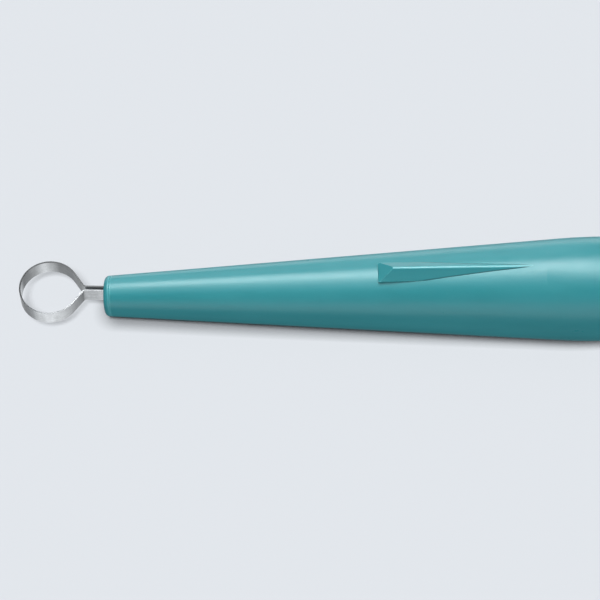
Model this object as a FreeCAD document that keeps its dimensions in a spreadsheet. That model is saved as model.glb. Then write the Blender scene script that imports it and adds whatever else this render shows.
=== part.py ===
"""Loop trimming tool: a bent steel ribbon loop held in a tapered moulded handle.

Millimetres, +Z up.  The tool lies along X with its loop towards -X and the raised index mark on
top.  The origin is under the middle of the tool, on the lowest plane of the handle.

Every piece but the blade is drawn in the tool's own axis frame: X runs along the axis from the nose
towards the butt, and the axis itself is Y = Z = 0.  The blade is drawn about the pin, along its own
middle plane.  One placement, bound to the sheet, brings each piece from there into the part's frame.
"""
import FreeCAD, Part
import Sketcher
import math
import os
import re

ORIGIN = -1     # a sketch's own axes; their START is the sketch's origin
START = 1
END = 2
CENTRE = 3

# Driving dimensions: alias, value, what it is.
DIMENSIONS = [
    ("loop_outer_diameter", 8.0, "outside of the round loop"),
    ("strip_thickness", 0.2, "steel ribbon"),
    ("strip_width", 2.5, "steel ribbon, standing on edge"),
    ("edge_drop", 0.05, "fall of the ground edges towards the inside of the loop"),
    ("side_angle", 54.5, "degrees between a straight side of the loop and the axis"),
    ("neck_bend_radius", 0.45, "middle of the ribbon where a side turns into its tail"),
    ("tail_gap", 0.38, "between the two tails"),
    ("blade_rake", 4.1, "degrees the blade leans up towards the loop"),
    ("loop_to_pin", 19.4, "loop centre to pin, along the blade"),
    ("tail_past_pin", 3.0, "along the blade"),
    ("nose_diameter", 5.5, "collar, and the handle where it meets the collar"),
    ("collar_length", 0.79, "visible ring of the collar"),
    ("collar_edge_radius", 0.68, "rounded front edge of the collar"),
    ("barrel_diameter", 4.3, "part of the collar inside the handle"),
    ("barrel_end", 17.6, "nose to the inner end of the collar"),
    ("slot_clearance", 0.02, "around and behind the tails in the collar"),
    ("fit_clearance", 0.02, "radial, around barrel, pin and plug"),
    ("pin_diameter", 1.0, "cross pin through the tails"),
    ("pin_setback", 12.12, "nose to pin"),
    ("joint_chamfer", 0.07, "edges on both sides of a joint line"),
    ("cone_half_angle", 3.86, "degrees, front of the handle"),
    ("cone_end", 61.12, "nose to the end of the straight cone"),
    ("belly_blend_radius", 74.0, "front cone into belly"),
    ("belly_length", 2.0, "straight stretch at the widest place"),
    ("rear_blend_radius", 100.0, "belly into rear cone"),
    ("rear_half_angle", 4.6, "degrees, rear of the handle"),
    ("handle_end", 106.1, "nose to the rear edge of the handle"),
    ("core_mouth_diameter", 5.8, "hollow, at its rear mouth"),
    ("core_tip_diameter", 5.4, "hollow, at its inner end"),
    ("core_front", 50.0, "nose to the inner end of the hollow"),
    ("plug_flange", 2.2, "visible length of the end plug"),
    ("plug_edge_radius", 1.5, "rounded rear edge of the end plug"),
    ("plug_spigot", 5.0, "part of the end plug inside the handle"),
    ("mark_toe", 36.5, "nose to the blunt end of the index mark"),
    ("mark_apex", 38.42, "nose to the highest point of the index mark"),
    ("mark_half_width", 1.42, "index mark at its blunt end"),
    ("mark_wall_top", 5.4, "axis to the foot of the mark's sloping flanks"),
    ("mark_ridge", 6.53, "axis to the top of the index mark"),
    ("mark_ridge_radius", 0.4, "rounding along the ridge"),
    ("mark_root", 3.6, "axis to the buried underside of the index mark"),
    ("mark_run", 22.5, "blunt end to where the ridge is well inside the cone"),
    ("mark_toe_rise", 0.03, "front edge of the end facet above the cone"),
    ("cut_margin", 1.0, "how far a cutting outline runs past the material"),
]

# Sizes that follow from the driving ones: alias, expression.
DERIVED = [
    ("loop_radius", "(loop_outer_diameter - strip_thickness) / 2"),
    ("tail_offset", "(tail_gap + strip_thickness) / 2"),
    ("side_cos", "cos(side_angle * 1deg)"),
    ("side_sin", "sin(side_angle * 1deg)"),
    ("neck_x", "loop_radius * side_sin + (loop_radius * side_cos - tail_offset)"
               " * side_cos / side_sin - loop_to_pin"),
    ("neck_tangent", "neck_bend_radius * tan(side_angle * 0.5deg)"),
    ("rake_cos", "cos(blade_rake * 1deg)"),
    ("rake_sin", "sin(blade_rake * 1deg)"),
    ("cone_slope", "tan(cone_half_angle * 1deg)"),
    ("rear_slope", "tan(rear_half_angle * 1deg)"),
    ("nose_radius", "nose_diameter / 2"),
    ("cone_end_radius", "nose_radius + (cone_end - collar_length) * cone_slope"),
    ("belly_radius", "cone_end_radius + belly_blend_radius * (1 - cos(cone_half_angle * 1deg))"),
    ("belly_start", "cone_end + belly_blend_radius * sin(cone_half_angle * 1deg)"),
    ("belly_end", "belly_start + belly_length"),
    ("rear_start", "belly_end + rear_blend_radius * sin(rear_half_angle * 1deg)"),
    ("rear_radius", "belly_radius - rear_blend_radius * (1 - cos(rear_half_angle * 1deg))"),
    ("butt_radius", "rear_radius - (handle_end - rear_start) * rear_slope"),
    ("butt", "handle_end + plug_flange"),
    ("core_draft", "(core_mouth_diameter - core_tip_diameter) / 2 / (handle_end - core_front)"),
    ("spigot_radius", "core_mouth_diameter / 2 - plug_spigot * core_draft - fit_clearance"),
    ("mark_toe_height", "nose_radius + (mark_toe - collar_length) * cone_slope + mark_toe_rise"),
    ("ridge_centre", "mark_ridge - mark_ridge_radius"),
    ("loop_tip",
     "(loop_to_pin + loop_outer_diameter / 2) * rake_cos + strip_width / 2 * rake_sin - pin_setback"),
    ("nose_x", "(loop_tip - butt) / 2"),
]

ALIASES = {row[0] for row in DIMENSIONS + DERIVED}


def make_sheet(doc):
    sheet = doc.addObject("Spreadsheet::Sheet", "Sizes")
    row = 0
    for alias, value, meaning in DIMENSIONS:
        row += 1
        sheet.set(f"A{row}", meaning)
        sheet.set(f"B{row}", str(value))
        sheet.setAlias(f"B{row}", alias)
    for alias, expression in DERIVED:
        row += 1
        sheet.set(f"B{row}", "=" + expression)
        sheet.setAlias(f"B{row}", alias)
    doc.recompute()
    return sheet


def spell(expression):
    """The expression with each of the sheet's aliases written as Sizes.alias."""
    return re.sub(r"[A-Za-z_]\w*",
                  lambda word: ("Sizes." if word.group() in ALIASES else "") + word.group(),
                  expression)


def new_body(doc, label):
    body = doc.addObject("PartDesign::Body", label)
    body.Label = label
    body.setExpression("Placement.Base.x", spell("nose_x"))
    body.setExpression("Placement.Base.z", spell("belly_radius"))
    return body


def rake_about_pin(body):
    """Put the body's origin on the pin and lean its X axis by the blade's rake."""
    body.Placement.Rotation = FreeCAD.Rotation(FreeCAD.Vector(0, 1, 0), 1)
    body.setExpression("Placement.Rotation.Angle", spell("blade_rake * 1deg"))
    body.setExpression("Placement.Base.x", spell("nose_x + pin_setback"))


def new_sketch(body, name, role, offset=None):
    """A sketch on one of the body's own origin planes, moved along its normal by offset."""
    plane = next(item for item in body.Origin.OriginFeatures if item.Role == role)
    sketch = body.newObject("Sketcher::SketchObject", name)
    sketch.AttachmentSupport = [(plane, "")]
    sketch.MapMode = "FlatFace"
    if offset:
        sketch.setExpression("AttachmentOffset.Base.z", spell(offset))
    return sketch


def drive(sketch, expression, kind, *where):
    """A constraint whose value is an expression in the sheet's aliases."""
    index = sketch.addConstraint(Sketcher.Constraint(kind, *where, 1.0))
    sketch.setExpression(f"Constraints[{index}]", spell(expression))


def add_point(sketch, across, up):
    """A construction point tied to two expressions, measured from the sketch's origin."""
    point = sketch.addGeometry(Part.Point(FreeCAD.Vector(1, 1, 0)), True)
    drive(sketch, across, "DistanceX", ORIGIN, START, point, START)
    drive(sketch, up, "DistanceY", ORIGIN, START, point, START)
    return point


def join(sketch, edge, vertex, point):
    sketch.addConstraint(Sketcher.Constraint("Coincident", edge, vertex, point, START))


def add_line(sketch, here, there):
    spots = [sketch.getPoint(point, START) for point in (here, there)]
    edge = sketch.addGeometry(Part.LineSegment(*spots), False)
    join(sketch, edge, START, here)
    join(sketch, edge, END, there)


def add_arc(sketch, here, there, centre):
    """The arc of less than half a turn between two points, about a third."""
    middle = sketch.getPoint(centre, START)
    spokes = [sketch.getPoint(point, START) - middle for point in (here, there)]
    if spokes[0].cross(spokes[1]).z < 0:
        here, there = there, here
        spokes.reverse()
    angles = [math.atan2(spoke.y, spoke.x) for spoke in spokes]
    if angles[1] < angles[0]:
        angles[1] += 2 * math.pi
    ring = Part.Circle(middle, FreeCAD.Vector(0, 0, 1), spokes[0].Length)
    edge = sketch.addGeometry(Part.ArcOfCircle(ring, *angles), False)
    join(sketch, edge, START, here)
    join(sketch, edge, END, there)
    sketch.addConstraint(Sketcher.Constraint("Horizontal", centre, START, edge, CENTRE))


def draw(doc, sketch, corners, closed=True):
    """Join corners in order; each is (across, up), or (across, up, across, up) where it is
    reached by an arc about the second pair."""
    points = [add_point(sketch, *corner[:2]) for corner in corners]
    centres = {order: add_point(sketch, *corner[2:])
               for order, corner in enumerate(corners) if len(corner) == 4}
    doc.recompute()
    for order in range(0 if closed else 1, len(corners)):
        if order in centres:
            add_arc(sketch, points[order - 1], points[order], centres[order])
        else:
            add_line(sketch, points[order - 1], points[order])


def circle(sketch, across, diameter):
    ring = sketch.addGeometry(Part.Circle(FreeCAD.Vector(1, 0, 0), FreeCAD.Vector(0, 0, 1), 1), False)
    drive(sketch, across, "DistanceX", ORIGIN, START, ring, CENTRE)
    drive(sketch, "0", "DistanceY", ORIGIN, START, ring, CENTRE)
    drive(sketch, diameter, "Diameter", ring)


def revolve(body, sketch, name, kind="PartDesign::Revolution"):
    feature = body.newObject(kind, name)
    feature.Profile = sketch
    feature.ReferenceAxis = (sketch, ["H_Axis"])
    feature.Angle = 360.0
    return feature


def pad(body, sketch, name, length, both_ways=False):
    feature = body.newObject("PartDesign::Pad", name)
    feature.Profile = sketch
    feature.Midplane = both_ways
    feature.setExpression("Length", spell(length))
    return feature


def pocket_through(body, sketch, name):
    """Cut the sketch's outline right through the body, both ways from the sketch."""
    feature = body.newObject("PartDesign::Pocket", name)
    feature.Profile = sketch
    feature.Midplane = True
    feature.Type = "ThroughAll"
    return feature


def confirm_cut(doc, feature, base):
    doc.recompute()
    if feature.Shape.Volume > base.Shape.Volume - 1e-6:
        raise RuntimeError(f"{feature.Name} removed nothing")


def half_path(side):
    """Corners of the ribbon's middle line on one side (+1 or -1), from the tail to the loop."""
    sign = "" if side > 0 else "-"
    return [
        ("tail_past_pin", f"{sign}tail_offset"),
        ("neck_x + neck_tangent", f"{sign}tail_offset"),
        ("neck_x - neck_tangent * side_cos", f"{sign}(tail_offset + neck_tangent * side_sin)"),
        ("loop_radius * side_sin - loop_to_pin", f"{sign}(loop_radius * side_cos)"),
    ]


def loop_blade(doc):
    """One steel ribbon on edge: tail, bend, side, round loop, side, bend, tail."""
    body = new_body(doc, "loop_blade")
    rake_about_pin(body)
    path = new_sketch(body, "ribbon_line", "XY_Plane")
    loop_centre = ("-loop_to_pin", "0")
    neck_centre = ("neck_x + neck_tangent", "tail_offset + neck_bend_radius")
    mirrored_centre = (neck_centre[0], f"-({neck_centre[1]})")
    out = half_path(1)
    out[2] += neck_centre
    tip = ("-loop_to_pin - loop_radius", "0") + loop_centre
    back = half_path(-1)[::-1]
    back[0] += loop_centre
    back[2] += mirrored_centre
    draw(doc, path, out + [tip] + back, closed=False)

    section = new_sketch(body, "ribbon_section", "YZ_Plane", "tail_past_pin")
    outer = "tail_offset + strip_thickness / 2"
    inner = "tail_offset - strip_thickness / 2"
    draw(doc, section, [
        (outer, "-strip_width / 2"),
        (outer, "strip_width / 2"),
        (inner, "strip_width / 2 - edge_drop"),
        (inner, "edge_drop - strip_width / 2"),
    ])
    ribbon = body.newObject("PartDesign::AdditivePipe", "ribbon")
    ribbon.Profile = section
    ribbon.Spine = path
    ribbon.Mode = "Standard"
    doc.recompute()

    hole = new_sketch(body, "pin_hole_outline", "XZ_Plane")
    circle(hole, "0", "pin_diameter + 2 * fit_clearance")
    confirm_cut(doc, pocket_through(body, hole, "pin_hole"), ribbon)
    return body


def slot_corners():
    """The slot's side view: a long rectangle that leans with the blade and runs out of the nose."""
    half_height = "(strip_width / 2 + slot_clearance)"
    behind = "(tail_past_pin + slot_clearance)"
    ahead = "(pin_setback + cut_margin)"
    return [
        (f"pin_setback + {along} * rake_cos + {across} * rake_sin",
         f"{across} * rake_cos - {along} * rake_sin")
        for along, across in [
            (f"(-{ahead})", f"(-{half_height})"),
            (behind, f"(-{half_height})"),
            (behind, half_height),
            (f"(-{ahead})", half_height),
        ]
    ]


def nose_collar(doc):
    """The ring seen at the nose and the barrel behind it, slotted for the tails."""
    body = new_body(doc, "nose_collar")
    profile = new_sketch(body, "collar_profile", "XY_Plane")
    draw(doc, profile, [
        ("0", "0"),
        ("0", "nose_radius - collar_edge_radius"),
        ("collar_edge_radius", "nose_radius",
         "collar_edge_radius", "nose_radius - collar_edge_radius"),
        ("collar_length - joint_chamfer", "nose_radius"),
        ("collar_length", "nose_radius - joint_chamfer"),
        ("collar_length", "barrel_diameter / 2"),
        ("barrel_end - joint_chamfer", "barrel_diameter / 2"),
        ("barrel_end", "barrel_diameter / 2 - joint_chamfer"),
        ("barrel_end", "0"),
    ])
    turned = revolve(body, profile, "collar")

    slot = new_sketch(body, "slot_outline", "XZ_Plane")
    draw(doc, slot, slot_corners())
    cut = body.newObject("PartDesign::Pocket", "tail_slot")
    cut.Profile = slot
    cut.Midplane = True
    cut.setExpression("Length", spell("tail_gap + 2 * (strip_thickness + slot_clearance)"))
    confirm_cut(doc, cut, turned)

    hole = new_sketch(body, "pin_hole_outline", "XZ_Plane")
    circle(hole, "pin_setback", "pin_diameter + 2 * fit_clearance")
    confirm_cut(doc, pocket_through(body, hole, "pin_hole"), cut)
    return body


def blade_pin(doc):
    """The cross pin that keeps the tails in the collar; the handle's bore covers its ends."""
    body = new_body(doc, "blade_pin")
    outline = new_sketch(body, "pin_outline", "XZ_Plane")
    circle(outline, "pin_setback", "pin_diameter")
    pad(body, outline, "pin", "barrel_diameter - 2 * joint_chamfer", both_ways=True)
    return body


def index_mark(doc, body):
    """The ridge along the top of the handle, level with the axis, with a sloping front facet."""
    section = new_sketch(body, "mark_section", "YZ_Plane", "mark_toe")
    # The flank from the wall's top touches the ridge's rounding where its own normal points.
    reach = "sqrt(mark_half_width ^ 2 + (ridge_centre - mark_wall_top) ^ 2)"
    lean = f"(atan2(ridge_centre - mark_wall_top; mark_half_width)" \
           f" + asin(mark_ridge_radius / ({reach})))"
    touch_across = f"mark_ridge_radius * sin({lean})"
    touch_up = f"ridge_centre + mark_ridge_radius * cos({lean})"
    draw(doc, section, [
        ("-mark_half_width", "mark_root"),
        ("-mark_half_width", "mark_wall_top"),
        (f"-({touch_across})", touch_up),
        (touch_across, touch_up, "0", "ridge_centre"),
        ("mark_half_width", "mark_wall_top"),
        ("mark_half_width", "mark_root"),
    ])
    ridge = pad(body, section, "mark_ridge_run", "mark_run")
    doc.recompute()

    facet = new_sketch(body, "facet_outline", "XZ_Plane")
    draw(doc, facet, [
        ("mark_toe - cut_margin", "mark_toe_height"),
        ("mark_toe", "mark_toe_height"),
        ("mark_apex", "mark_ridge"),
        ("mark_apex", "mark_ridge + cut_margin"),
        ("mark_toe - cut_margin", "mark_ridge + cut_margin"),
    ])
    confirm_cut(doc, pocket_through(body, facet, "mark_facet"), ridge)


def handle_body(doc):
    """The moulded handle: long front cone, belly, rear cone, index mark, bored at both ends."""
    body = new_body(doc, "handle_body")
    index_mark(doc, body)

    profile = new_sketch(body, "handle_profile", "XY_Plane")
    draw(doc, profile, [
        ("collar_length", "0"),
        ("collar_length", "nose_radius - joint_chamfer"),
        ("collar_length + joint_chamfer", "nose_radius + joint_chamfer * cone_slope"),
        ("cone_end", "cone_end_radius"),
        ("belly_start", "belly_radius", "belly_start", "belly_radius - belly_blend_radius"),
        ("belly_end", "belly_radius"),
        ("rear_start", "rear_radius", "belly_end", "belly_radius - rear_blend_radius"),
        ("handle_end - joint_chamfer", "butt_radius + joint_chamfer * rear_slope"),
        ("handle_end", "butt_radius - joint_chamfer"),
        ("handle_end", "0"),
    ])
    turned = revolve(body, profile, "handle")
    doc.recompute()

    nose_bore = new_sketch(body, "nose_bore_profile", "XY_Plane")
    bore_radius = "barrel_diameter / 2 + fit_clearance"
    draw(doc, nose_bore, [
        ("0", "0"),
        ("0", bore_radius),
        ("barrel_end + fit_clearance", bore_radius),
        ("barrel_end + fit_clearance", "0"),
    ])
    bored = revolve(body, nose_bore, "nose_bore", "PartDesign::Groove")
    confirm_cut(doc, bored, turned)

    core = new_sketch(body, "core_profile", "XY_Plane")
    draw(doc, core, [
        ("core_front", "0"),
        ("core_front", "core_tip_diameter / 2"),
        ("handle_end + cut_margin", "core_mouth_diameter / 2 + cut_margin * core_draft"),
        ("handle_end + cut_margin", "0"),
    ])
    confirm_cut(doc, revolve(body, core, "core", "PartDesign::Groove"), bored)
    return body


def end_plug(doc):
    """The cap that closes the hollow, with the tool's only flat face at its rear."""
    body = new_body(doc, "end_plug")
    profile = new_sketch(body, "plug_profile", "XY_Plane")
    draw(doc, profile, [
        ("handle_end - plug_spigot", "0"),
        ("handle_end - plug_spigot", "spigot_radius - joint_chamfer"),
        ("handle_end - plug_spigot + joint_chamfer", "spigot_radius"),
        ("handle_end", "spigot_radius"),
        ("handle_end", "butt_radius - joint_chamfer"),
        ("handle_end + joint_chamfer", "butt_radius"),
        ("butt - plug_edge_radius", "butt_radius"),
        ("butt", "butt_radius - plug_edge_radius",
         "butt - plug_edge_radius", "butt_radius - plug_edge_radius"),
        ("butt", "0"),
    ])
    revolve(body, profile, "plug")
    return body


def check_document(doc, bodies):
    for item in doc.Objects:
        faults = {"Invalid", "Error"} & set(item.State)
        if faults:
            raise RuntimeError(f"{item.Label}: {sorted(faults)}")
    for body in bodies:
        shape = body.Shape
        if shape.isNull() or not shape.isValid() or len(shape.Solids) != 1:
            raise RuntimeError(f"{body.Label} is not one valid solid")


def main():
    doc = FreeCAD.newDocument("loop_trimming_tool")
    make_sheet(doc)
    bodies = [
        loop_blade(doc),
        nose_collar(doc),
        blade_pin(doc),
        handle_body(doc),
        end_plug(doc),
    ]
    doc.recompute()
    check_document(doc, bodies)
    os.makedirs("parts", exist_ok=True)
    for body in bodies:
        body.Shape.exportStep(f"parts/{body.Label}.step")
        box = body.Shape.BoundBox
        print(f"{body.Label}: {body.Shape.Volume:.2f} mm3, x {box.XMin:.3f} to {box.XMax:.3f}, "
              f"y {box.YMin:.3f} to {box.YMax:.3f}, z {box.ZMin:.3f} to {box.ZMax:.3f}")


main()
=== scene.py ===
"""Loop trimming tool: looks, floor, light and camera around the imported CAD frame."""
import math

import bpy
from mathutils import Matrix, Quaternion, Vector


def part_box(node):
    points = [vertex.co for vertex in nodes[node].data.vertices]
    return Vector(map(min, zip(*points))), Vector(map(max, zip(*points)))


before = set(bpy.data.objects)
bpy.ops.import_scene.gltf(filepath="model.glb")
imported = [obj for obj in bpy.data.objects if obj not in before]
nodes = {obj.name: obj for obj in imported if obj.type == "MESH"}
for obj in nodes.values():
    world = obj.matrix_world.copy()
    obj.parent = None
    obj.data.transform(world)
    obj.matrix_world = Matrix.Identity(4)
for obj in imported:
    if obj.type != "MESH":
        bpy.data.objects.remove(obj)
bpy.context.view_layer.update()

MM = 0.001


# --- places that the CAD gives ---------------------------------------------------------------
NOSE_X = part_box("nose_collar")[0][0]
HANDLE_LOW, HANDLE_HIGH = (Vector(corner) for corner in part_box("handle_body"))
BELLY_RADIUS = (HANDLE_HIGH.y - HANDLE_LOW.y) / 2
AXIS_Z = HANDLE_LOW.z + BELLY_RADIUS
JOINT_LINE = HANDLE_LOW.x - NOSE_X
CONTACT_FRONT = (0.69, 2.75)      # the front cone's ends, millimetres from the nose and off the axis
CONTACT_REAR = (61.12, 6.8205)
CONE_SLOPE = (CONTACT_REAR[1] - CONTACT_FRONT[1]) / (CONTACT_REAR[0] - CONTACT_FRONT[0])
CONE_MARGIN = 2.0                 # millimetres left out at each end of the cone
CONE_SLACK = 0.004                # millimetres above the cone that still count as its surface

LOOP_LOW, LOOP_HIGH = (Vector(corner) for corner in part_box("loop_blade"))
LOOP_RADIUS = (LOOP_HIGH.y - LOOP_LOW.y) / 2
LEAN_ALLOWANCE = 1.02             # the leaning loop's centre is a little further back than its radius
LOOP_CENTRE = (LOOP_LOW.x + LOOP_RADIUS * LEAN_ALLOWANCE, 0.0, 0.0)


# --- what the surfaces look like ---------------------------------------------------------------
# Painted reflections and glints on the ribbon: how bright it is round its loop, in degrees from the
# handle: inside, outside and top edge.
INNER_PAINTED_REFLECTIONS = [(0, 0.60), (10, 0.34), (52, 0.27), (74, 0.31), (90, 0.58), (104, 0.88), (122, 0.56),
               (140, 0.38), (160, 0.27), (168, 0.60), (178, 1.0), (215, 0.8), (300, 0.6), (360, 0.7)]
OUTER_PAINTED_REFLECTIONS = [(0, 0.74), (40, 0.4), (120, 0.4), (190, 0.22), (222, 0.27), (240, 0.46), (254, 0.90),
               (280, 0.98), (300, 0.80), (318, 0.58), (338, 0.44), (352, 0.28), (356, 0.66), (360, 0.74)]
RIM_PAINTED_GLINTS = [(0, 0.16), (60, 0.12), (150, 0.12), (200, 0.14), (222, 0.30), (250, 0.62), (300, 0.62),
             (345, 0.62), (354, 0.75), (360, 0.65)]
RIM_FACING = 0.6                  # surfaces that face up more than this are the ribbon's edge
GRAZING_TONE = 0.6

PLASTIC_LOW = (0.017, 0.250, 0.278)
PLASTIC_HIGH = (0.023, 0.278, 0.308)
PLASTIC_GLOSS = (0.25, 0.42)      # roughness of its shiniest and dullest patches
EDGE_PAINTED_HIGHLIGHT = (0.16, 0.56, 0.59)    # painted highlight along the moulding's sharp edges
EDGE_ROUNDING = 0.00012
# Painted shade in the moulding's creases, by ambient occlusion: its reach and darkest level.
CREASE_REACH = 0.00035
CREASE_PAINTED_SHADE = 0.5
CORNER_HEIGHTS = (0.03, 0.13)     # millimetres above the cone over which the painted shade at the mark's corner fades out
CORNER_PAINTED_SHADE = (0.008, 0.125, 0.142)
RIDGE_REACH = (0.08, 0.20)        # millimetres to each side of the mark's ridge, for its painted highlight
RIDGE_PAINTED_HIGHLIGHT = 0.7
RIDGE_START = 38.4                # millimetres from the nose, where the front facet ends
LIP_REACH = (0.10, 0.26)          # millimetres to each side of the joint line, for its painted highlight
LIP_PAINTED_HIGHLIGHT = 0.36


def on_axis(along, across, up):
    """A point given in millimetres from the nose, along, across and above the tool's axis."""
    return Vector((NOSE_X + along * MM, across * MM, AXIS_Z + up * MM))


# --- node helpers ----------------------------------------------------------------------------
class Maker:
    """Adds nodes to a fresh material and wires them by name."""

    def __init__(self, name):
        self.material = bpy.data.materials.new(name)
        self.material.use_nodes = True
        self.tree = self.material.node_tree
        self.tree.nodes.clear()
        self.output = self.tree.nodes.new("ShaderNodeOutputMaterial")

    def node(self, kind, **settings):
        made = self.tree.nodes.new("ShaderNode" + kind)
        for key, value in settings.items():
            setattr(made, key, value)
        return made

    def wire(self, source, target):
        self.tree.links.new(source, target)

    def put(self, node, **values):
        """Set or wire inputs; underscores in a name stand for spaces."""
        for key, value in values.items():
            socket = node.inputs[key.replace("_", " ")]
            if isinstance(value, bpy.types.NodeSocket):
                self.wire(value, socket)
            else:
                socket.default_value = value
        return node

    def object_space(self, scale=(1, 1, 1)):
        where = self.node("TexCoord").outputs["Object"]
        mapping = self.node("Mapping")
        self.put(mapping, Vector=where, Scale=scale)
        return mapping.outputs["Vector"]

    def noise(self, vector, scale, detail=2.0, roughness=0.5):
        made = self.node("TexNoise")
        self.put(made, Vector=vector, Scale=scale, Detail=detail, Roughness=roughness)
        return made.outputs["Fac"]

    def ramp(self, factor, stops):
        made = self.node("ValToRGB")
        self.put(made, Fac=factor)
        points = made.color_ramp.elements
        while len(points) < len(stops):
            points.new(0.5)
        for point, (place, colour) in zip(points, stops):
            point.position = place
            point.color = (*colour, 1.0)
        return made.outputs["Color"]

    def spread(self, factor, low, high, source=(0.0, 1.0)):
        """The factor's stretch between the source's ends, carried over to low and high."""
        made = self.node("MapRange")
        self.put(made, Value=factor, **{"From_Min": source[0], "From_Max": source[1],
                                        "To_Min": low, "To_Max": high})
        return made.outputs["Result"]

    def bump(self, height, distance, strength=1.0, normal=None):
        made = self.node("Bump")
        self.put(made, Height=height, Distance=distance, Strength=strength)
        if normal:
            self.wire(normal, made.inputs["Normal"])
        return made.outputs["Normal"]

    def mix(self, factor, first, second, blend="MIX"):
        made = self.node("Mix", data_type="RGBA", blend_type=blend)
        for socket, value in ((made.inputs[0], factor), (made.inputs[6], first),
                              (made.inputs[7], second)):
            if isinstance(value, bpy.types.NodeSocket):
                self.wire(value, socket)
            elif isinstance(value, (tuple, list)):
                socket.default_value = (*value, 1.0)
            else:
                socket.default_value = value
        return made.outputs[2]

    def vector(self, operation, first, second=None):
        made = self.node("VectorMath", operation=operation)
        self.wire(first, made.inputs[0])
        if isinstance(second, bpy.types.NodeSocket):
            self.wire(second, made.inputs[1])
        elif second is not None:
            made.inputs[1].default_value = second
        return made

    def math(self, operation, *values):
        made = self.node("Math", operation=operation)
        for socket, value in zip(made.inputs, values):
            if isinstance(value, bpy.types.NodeSocket):
                self.wire(value, socket)
            else:
                socket.default_value = value
        return made.outputs[0]

    def finish(self, surface):
        self.wire(surface, self.output.inputs["Surface"])
        return self.material


def cone_place(make):
    """Where a point is against the front cone, in metres: along it, to the side of the mark's
    ridge and above the cone's surface. The fourth socket is the cone's exact normal there."""
    place = make.vector("SUBTRACT", make.node("TexCoord").outputs["Object"], on_axis(0, 0, 0))
    parts = make.node("SeparateXYZ")
    make.wire(place.outputs[0], parts.inputs[0])
    along = parts.outputs["X"]
    aside = make.math("ABSOLUTE", parts.outputs["Y"])

    across = make.vector("MULTIPLY", place.outputs[0], (0, 1, 1)).outputs[0]
    unit = make.vector("NORMALIZE", across).outputs[0]
    exact = make.vector("NORMALIZE", make.vector("ADD", unit, (-CONE_SLOPE, 0, 0)).outputs[0])
    start = (CONTACT_FRONT[1] - CONTACT_FRONT[0] * CONE_SLOPE) * MM
    radius = make.math("MULTIPLY_ADD", along, CONE_SLOPE, start)
    above = make.math("SUBTRACT", make.vector("LENGTH", across).outputs["Value"], radius)
    return along, aside, above, exact.outputs[0]


def millimetres(reach):
    return tuple(end * MM for end in reach)


def front_cone(make):
    """Three sockets: the front cone's exact normal on that cone and the mesh's own elsewhere, how close
    a point on the index mark is to its corner with the cone, for painted shade there, and how much
    painted highlight a point gets: along the mark's ridge, and on both sides of the joint line behind
    the collar."""
    along, aside, above, exact = cone_place(make)
    half = (CONTACT_REAR[0] - CONTACT_FRONT[0]) / 2 * MM
    between_ends = make.math("COMPARE", along, half, half - CONE_MARGIN * MM)
    on_surface = make.math("LESS_THAN", above, CONE_SLACK * MM)
    on_mark = make.math("MULTIPLY", make.math("SUBTRACT", 1.0, on_surface), between_ends)

    normal = make.node("Mix", data_type="VECTOR")
    make.wire(make.math("MULTIPLY", on_surface, between_ends), normal.inputs[0])
    make.wire(make.node("NewGeometry").outputs["Normal"], normal.inputs[4])
    make.wire(exact, normal.inputs[5])

    corner = make.math("MULTIPLY", make.spread(above, 1.0, 0.0, millimetres(CORNER_HEIGHTS)), on_mark)
    ridge = make.spread(aside, RIDGE_PAINTED_HIGHLIGHT, 0.0, millimetres(RIDGE_REACH))
    ridge = make.math("MULTIPLY", ridge, make.math("GREATER_THAN", along, RIDGE_START * MM))
    from_joint = make.math("ABSOLUTE", make.math("SUBTRACT", along, JOINT_LINE))
    lips = make.spread(from_joint, LIP_PAINTED_HIGHLIGHT, 0.0, millimetres(LIP_REACH))
    return normal.outputs[1], corner, make.math("MULTIPLY_ADD", ridge, on_mark, lips)


def teal_plastic(name, tone):
    """Injection-moulded plastic: satin skin over a fine grain, with painted highlights along its edges,
    the mark's ridge and the joint line, and painted shade in its creases and at the mark's foot.
    """
    make = Maker(name)
    space = make.object_space()
    flow = make.noise(make.object_space((0.25, 1, 1)), 260.0, 3.0, 0.6)
    rub = make.noise(make.object_space((0.35, 1, 1)), 1500.0, 3.0, 0.65)
    fine = make.noise(space, 4500.0, 3.0, 0.7)
    patchy = make.math("MULTIPLY_ADD", rub, 0.5, make.spread(flow, 0.0, 0.5))
    low = tuple(c * tone for c in PLASTIC_LOW)
    high = tuple(c * tone for c in PLASTIC_HIGH)
    colour = make.ramp(flow, [(0.3, low), (0.7, high)])

    smooth, corner, painted_highlight = front_cone(make)
    # Painted shade: the mark's foot, where it meets the cone, is darkened.
    colour = make.mix(corner, colour, CORNER_PAINTED_SHADE)
    # Painted highlight: sharp edges, found where the rounded normal parts from the smooth one, and the
    # ridge and joint line are lightened.
    rounded = make.node("Bevel", samples=8)
    make.put(rounded, Radius=EDGE_ROUNDING)
    agreement = make.vector("DOT_PRODUCT", rounded.outputs["Normal"],
                            make.node("TexCoord").outputs["Normal"])
    edge = make.spread(agreement.outputs["Value"], 0.8, 0.0, (0.90, 0.985))
    colour = make.mix(make.math("MAXIMUM", edge, painted_highlight), colour, EDGE_PAINTED_HIGHLIGHT)

    # Painted shade: creases are darkened by ambient occlusion.
    crease = make.node("AmbientOcclusion", samples=8, only_local=True)
    make.put(crease, Distance=CREASE_REACH)
    depth = make.spread(crease.outputs["AO"], CREASE_PAINTED_SHADE, 1.0, (0.45, 0.9))
    colour = make.mix(1.0, colour, depth, "MULTIPLY")

    grained = make.bump(rub, 0.000005, 0.5, make.bump(fine, 0.000012, 0.7, smooth))
    shader = make.node("BsdfPrincipled")
    make.put(shader, Base_Color=colour, Roughness=make.spread(patchy, *PLASTIC_GLOSS, (0.3, 0.7)),
             IOR=1.5, Normal=grained)
    return make.finish(shader.outputs["BSDF"])


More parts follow.
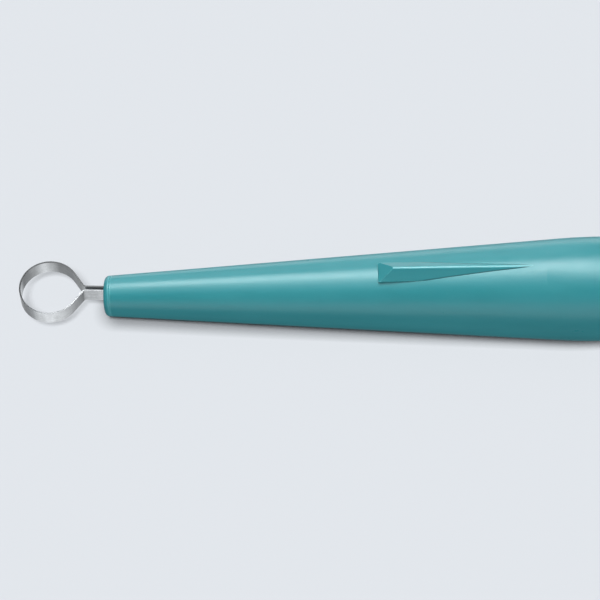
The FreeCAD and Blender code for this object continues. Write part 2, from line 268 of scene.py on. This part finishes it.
def grey(level):
    """The slightly cool grey of the steel, at that brightness."""
    return (level * 0.985, level, level * 1.01)


def painted_reflection_ramp(make, turn, stops):
    """A painted reflection grey that follows the ribbon round its loop: stops are (degrees from the
    handle, level).
    """
    return make.ramp(turn, [(degrees / 360.0, grey(level)) for degrees, level in stops])


def ribbon_steel():
    """Cold-rolled stainless ribbon: drawing marks along its length, clouded where it was bent, with
    painted reflections and glints round its loop.
    """
    make = Maker("ribbon_steel")
    coordinates = make.node("TexCoord")
    from_centre = make.vector("SUBTRACT", coordinates.outputs["Object"], LOOP_CENTRE).outputs[0]
    parts = make.node("SeparateXYZ")
    make.wire(from_centre, parts.inputs[0])
    angle = make.math("ARCTAN2", parts.outputs["Y"], parts.outputs["X"])
    whole = make.math("WRAP", angle, 2 * math.pi, 0.0)
    turn = make.spread(whole, 0.0, 1.0, (0.0, 2 * math.pi))

    # Painted reflections: the ribbon's inside and outside each get their own brightness round the loop.
    outside = make.vector("DOT_PRODUCT", from_centre, coordinates.outputs["Normal"])
    outward = make.math("GREATER_THAN", outside.outputs["Value"], 0.0)
    inner = painted_reflection_ramp(make, turn, INNER_PAINTED_REFLECTIONS)
    outer = painted_reflection_ramp(make, turn, OUTER_PAINTED_REFLECTIONS)
    tone = make.mix(outward, inner, outer)

    # Painted glints: the up-facing top edge gets its own brightness round the loop.
    facing = make.node("SeparateXYZ")
    make.wire(coordinates.outputs["Normal"], facing.inputs[0])
    upward = make.math("GREATER_THAN", facing.outputs["Z"], RIM_FACING)
    tone = make.mix(upward, tone, painted_reflection_ramp(make, turn, RIM_PAINTED_GLINTS))

    streak = make.noise(make.object_space((1, 1, 16)), 500.0, 5.0, 0.75)
    cloud = make.noise(make.object_space((1, 1, 0.3)), 900.0, 3.0, 0.6)
    tone = make.mix(0.55, tone, make.ramp(streak, [(0.32, grey(0.55)), (0.68, grey(1.0))]), "MULTIPLY")
    tone = make.mix(0.45, tone, make.ramp(cloud, [(0.35, grey(0.6)), (0.65, grey(1.0))]), "MULTIPLY")
    shader = make.node("BsdfPrincipled")
    make.put(shader, Base_Color=tone, Specular_Tint=(*grey(GRAZING_TONE), 1.0), Metallic=1.0,
             Roughness=make.spread(streak, 0.14, 0.34),
             Normal=make.bump(streak, 0.000005, 0.5))
    return make.finish(shader.outputs["BSDF"])


def pin_steel():
    """Ground dowel steel, finely ringed around the pin."""
    make = Maker("pin_steel")
    ring = make.noise(make.object_space((1, 12, 1)), 900.0, 2.0)
    shader = make.node("BsdfPrincipled")
    make.put(shader, Base_Color=make.ramp(ring, [(0.3, (0.42, 0.43, 0.44)), (0.7, (0.55, 0.56, 0.57))]),
             Metallic=1.0, Roughness=make.spread(ring, 0.22, 0.34))
    return make.finish(shader.outputs["BSDF"])


def paint(name, material):
    """Give every slot of a CAD node its material."""
    target = nodes[name]
    if not target.material_slots:
        target.data.materials.append(material)
    for place in target.material_slots:
        place.material = material


for piece, name, tone in (("handle_body", "handle_plastic", 1.0),
                          ("nose_collar", "collar_plastic", 0.97),
                          ("end_plug", "plug_plastic", 0.95)):
    paint(piece, teal_plastic(name, tone))
paint("loop_blade", ribbon_steel())
paint("blade_pin", pin_steel())


# --- floor -------------------------------------------------------------------------------------
FLOOR_REACH = 9000.0
FLOOR_RADIANCE = (0.7605, 0.7913, 0.8308)
FLOOR_MATTE = 0.12
FLOOR_GLOW = 0.595                # share of that radiance given as glow, which cast shadows leave alone and the painted contact shadow darkens
CONTACT_SHADE_REACH = 0.0022
CONTACT_SHADE = (0.42, 0.96)


def floor_point(along, across):
    """The tool lies on its front cone, so the floor leans with the cone's lowest line."""
    return on_axis(along, across, -(CONTACT_FRONT[1] + (along - CONTACT_FRONT[0]) * CONE_SLOPE))


def build_floor():
    mesh = bpy.data.meshes.new("floor")
    corners = [floor_point(FLOOR_REACH * along, FLOOR_REACH * across)
               for along, across in ((-1, -1), (1, -1), (1, 1), (-1, 1))]
    mesh.from_pydata(corners, [], [(0, 1, 2, 3)])
    floor = bpy.data.objects.new("floor", mesh)
    bpy.context.scene.collection.objects.link(floor)
    make = Maker("floor_paper")
    # Painted contact shadow: the floor's glow dims where ambient occlusion finds the tool close by.
    near = make.node("AmbientOcclusion", samples=8)
    make.put(near, Distance=CONTACT_SHADE_REACH)
    glow = make.node("Emission")
    make.put(glow, Color=(*FLOOR_RADIANCE, 1.0),
             Strength=make.spread(near.outputs["AO"], 0.0, FLOOR_GLOW, CONTACT_SHADE))
    matte = make.node("BsdfDiffuse")
    make.put(matte, Color=(*(FLOOR_MATTE * c for c in FLOOR_RADIANCE), 1.0))
    both = make.node("AddShader")
    make.wire(glow.outputs[0], both.inputs[0])
    make.wire(matte.outputs[0], both.inputs[1])
    mesh.materials.append(make.finish(both.outputs[0]))
    return floor


floor = build_floor()
floor.visible_diffuse = False
floor.visible_glossy = False
floor.visible_shadow = False


# --- light -------------------------------------------------------------------------------------
LAMP_DISTANCE = 1.5
LAMP_AIM = 30.0                   # millimetres from the nose, where every softbox points
SUN_SPREAD = 16
SUN_ENERGY = 10.35
SUN_TOWARDS = (-0.03, -0.37, 1.0)
ROOM_COLOUR = (0.75, 0.80, 0.86)
ROOM_DIMMING = {"From Min": -1.0, "From Max": -0.7, "To Min": 0.12, "To Max": 0.46}


def link_light(lamp, target, state):
    """Make a lamp light only that object (INCLUDE) or everything but it (EXCLUDE)."""
    group = bpy.data.collections.new(lamp.name + "_light")
    group.objects.link(target)
    lamp.light_linking.receiver_collection = group
    group.collection_objects[0].light_linking.link_state = state


def aim(lamp, place, target):
    lamp.location = place
    lamp.rotation_mode = "QUATERNION"
    lamp.rotation_quaternion = (place - target).to_track_quat("Z", "Y")


def softbox(name, towards, distance, size, power, spin):
    data = bpy.data.lights.new(name, "AREA")
    data.shape = "RECTANGLE"
    data.size, data.size_y = size
    data.energy = power
    lamp = bpy.data.objects.new(name, data)
    bpy.context.scene.collection.objects.link(lamp)
    target = on_axis(LAMP_AIM, 0, 0)
    aim(lamp, target + Vector(towards).normalized() * distance, target)
    lamp.rotation_quaternion = lamp.rotation_quaternion @ Quaternion((0, 0, 1), math.radians(spin))
    return lamp


def box_from(name, lean, radiance, size, sideways=0.0, spin=0.0, diffuse=True, glossy=True,
             only=None):
    """A softbox that many degrees north of straight up, seen from the tool at that radiance."""
    angle = math.radians(lean)
    lamp = softbox(name, (sideways, math.sin(angle), math.cos(angle)), LAMP_DISTANCE, size,
                   radiance * math.pi * size[0] * size[1], spin)
    lamp.visible_camera = False
    lamp.visible_diffuse = diffuse
    lamp.visible_glossy = glossy
    if only:
        link_light(lamp, nodes[only], "INCLUDE")
    else:
        link_light(lamp, floor, "EXCLUDE")


box_from("key", 29, 9.6, (1.05, 0.56), -0.11, spin=-18, diffuse=False)
box_from("key_side", 10, 8.6, (0.66, 0.30), 0.19, diffuse=False, only="handle_body")
box_from("key_fill", 26, 6.6, (1.4, 0.70), -0.05, glossy=False)
box_from("over_card", 0, 1.5, (1.6, 0.75), diffuse=False)
box_from("north_card", 66, 1.7, (1.5, 0.55), -0.30, diffuse=False)
box_from("north_low_card", 101, 1.5, (2.4, 0.60), diffuse=False)
box_from("south_card", -77, 1.1, (2.4, 1.0))
box_from("under_blade", 180, 0.75, (5.0, 5.0), only="loop_blade")


def build_sun():
    """A high, soft sun that only the floor receives, for the shadow that the tool throws."""
    data = bpy.data.lights.new("floor_light", "SUN")
    data.angle = math.radians(SUN_SPREAD)
    data.energy = SUN_ENERGY
    sun = bpy.data.objects.new("floor_light", data)
    bpy.context.scene.collection.objects.link(sun)
    aim(sun, Vector(SUN_TOWARDS), Vector((0, 0, 0)))
    link_light(sun, floor, "INCLUDE")


def build_room():
    """A pale room that darkens below the tool."""
    world = bpy.data.worlds.new("room")
    bpy.context.scene.world = world
    world.use_nodes = True
    tree = world.node_tree
    background = tree.nodes["Background"]
    background.inputs["Color"].default_value = (*ROOM_COLOUR, 1.0)
    direction = tree.nodes.new("ShaderNodeTexCoord")
    height = tree.nodes.new("ShaderNodeSeparateXYZ")
    dimming = tree.nodes.new("ShaderNodeMapRange")
    for name, value in ROOM_DIMMING.items():
        dimming.inputs[name].default_value = value
    tree.links.new(direction.outputs["Generated"], height.inputs[0])
    tree.links.new(height.outputs["Z"], dimming.inputs["Value"])
    tree.links.new(dimming.outputs["Result"], background.inputs["Strength"])


build_sun()
build_room()
bpy.context.scene.view_settings.view_transform = "Standard"


# --- camera ------------------------------------------------------------------------------------
CAMERA_PLACE = (28.76, -102.29, 185.37)
CAMERA_YAW, CAMERA_PITCH, CAMERA_ROLL = -1.46, 61.35, -2.13
CAMERA_LENS = 94.6


def build_camera():
    yaw, pitch, roll = (math.radians(a) for a in (CAMERA_YAW, CAMERA_PITCH, CAMERA_ROLL))
    ahead = Vector((math.sin(yaw) * math.cos(pitch), math.cos(yaw) * math.cos(pitch), -math.sin(pitch)))
    right = Vector((math.cos(yaw), -math.sin(yaw), 0))
    up = right.cross(ahead)
    turned_right = right * math.cos(roll) + up * math.sin(roll)
    turned_up = up * math.cos(roll) - right * math.sin(roll)
    data = bpy.data.cameras.new("camera")
    data.lens = CAMERA_LENS
    data.sensor_width = 36.0
    data.clip_start, data.clip_end = 0.01, 30.0
    camera = bpy.data.objects.new("camera", data)
    bpy.context.scene.collection.objects.link(camera)
    turn = Matrix((turned_right, turned_up, -ahead)).transposed()
    camera.matrix_world = Matrix.Translation(on_axis(*CAMERA_PLACE)) @ turn.to_4x4()
    bpy.context.scene.camera = camera


build_camera()
